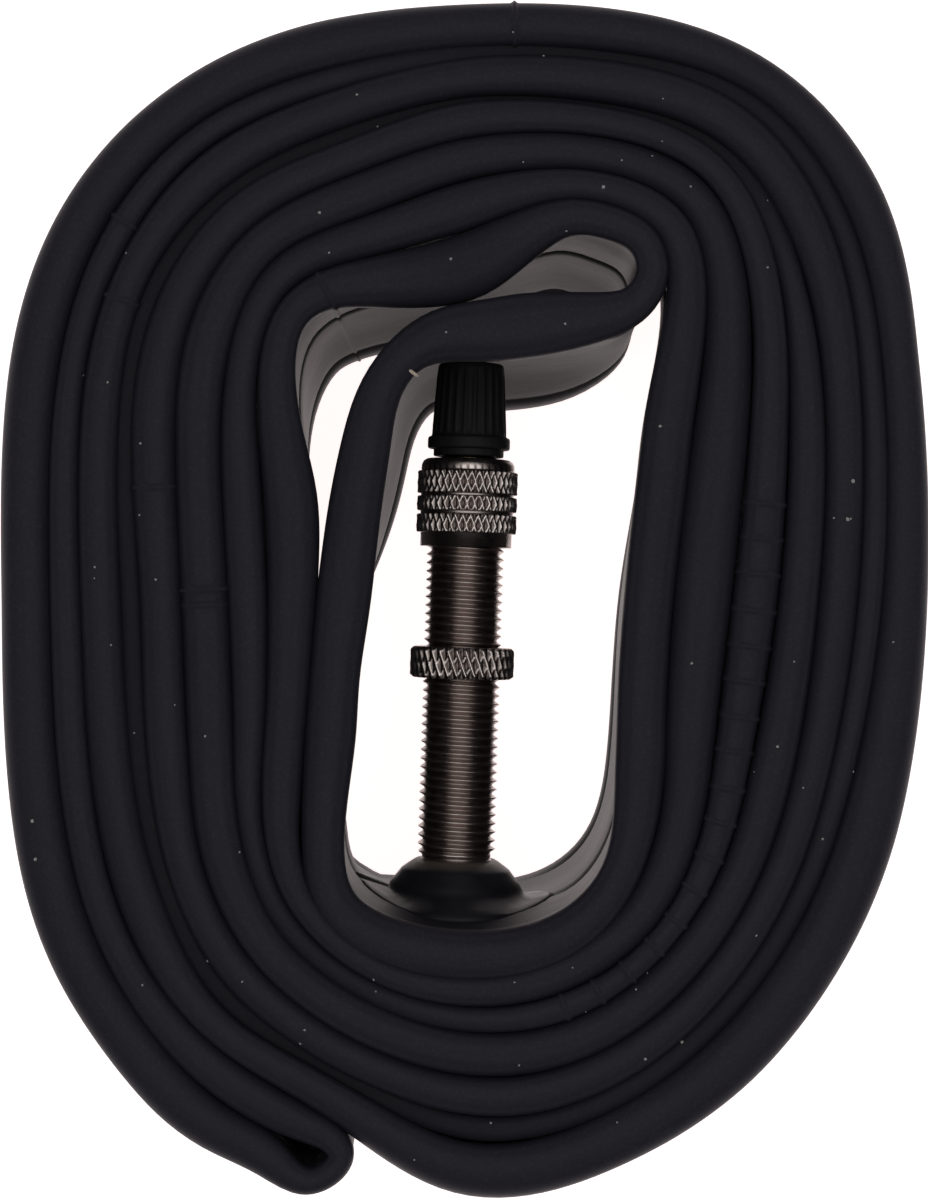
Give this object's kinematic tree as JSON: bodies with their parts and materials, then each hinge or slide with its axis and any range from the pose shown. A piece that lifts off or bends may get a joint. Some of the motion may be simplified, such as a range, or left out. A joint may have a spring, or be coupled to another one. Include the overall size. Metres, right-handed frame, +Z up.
{
  "type": "rolled bicycle inner tube",
  "caption": "Butyl bicycle inner tube, collapsed flat and rolled up round its straight metal valve with knurled nuts and a ribbed dust cap.",
  "frame": {"origin": "centre of the roll's underside, on the surface it lies on", "axes": "+Z up through the roll's flat width; +Y along the valve from its rubber base to its cap; +X across, to the right of the valve seen from above"},
  "size_m": [0.082, 0.1083, 0.04],
  "materials": {
    "butyl": "matte black butyl with a faint grey bloom",
    "base_rubber": "moulded black rubber",
    "stem_metal": "nickel plated brass",
    "nut_metal": "nickel plated brass, diamond knurled",
    "core_brass": "turned brass",
    "seal_rubber": "soft red rubber",
    "spring_steel": "drawn wire",
    "cap_plastic": "moulded black plastic with upright ribs"
  },
  "bodies": {
    "roll": {"butyl_tube": "butyl", "valve_base": "base_rubber", "valve_stem": "stem_metal", "core_body": "core_brass", "core_plug": "core_brass", "core_seal": "seal_rubber", "check_spring": "spring_steel"},
    "rim_nut": {"rim_nut": "nut_metal"},
    "union_nut": {"union_nut": "nut_metal"},
    "plunger": {"check_plunger": "core_brass"},
    "cap": {"dust_cap": "cap_plastic"}
  },
  "joints": [
    {"name": "rim_nut_slide", "type": "slide", "parent": "roll", "child": "rim_nut", "axis": [0, 1, 0], "range_m": [-0.0177, 0.0098]},
    {"name": "union_nut_turn", "type": "hinge", "parent": "roll", "child": "union_nut", "pos_m": [0, 0.01, 0.02], "axis": [0, 1, 0], "continuous": true},
    {"name": "cap_turn", "type": "hinge", "parent": "roll", "child": "cap", "pos_m": [0, 0.02, 0.02], "axis": [0, 1, 0], "continuous": true},
    {"name": "plunger_press", "type": "slide", "parent": "roll", "child": "plunger", "axis": [0, -1, 0], "range_m": [0, 0.0012], "stiffness_N_per_m": 120, "springref_m": -0.0008, "deforming": ["check_spring"]}
  ]
}
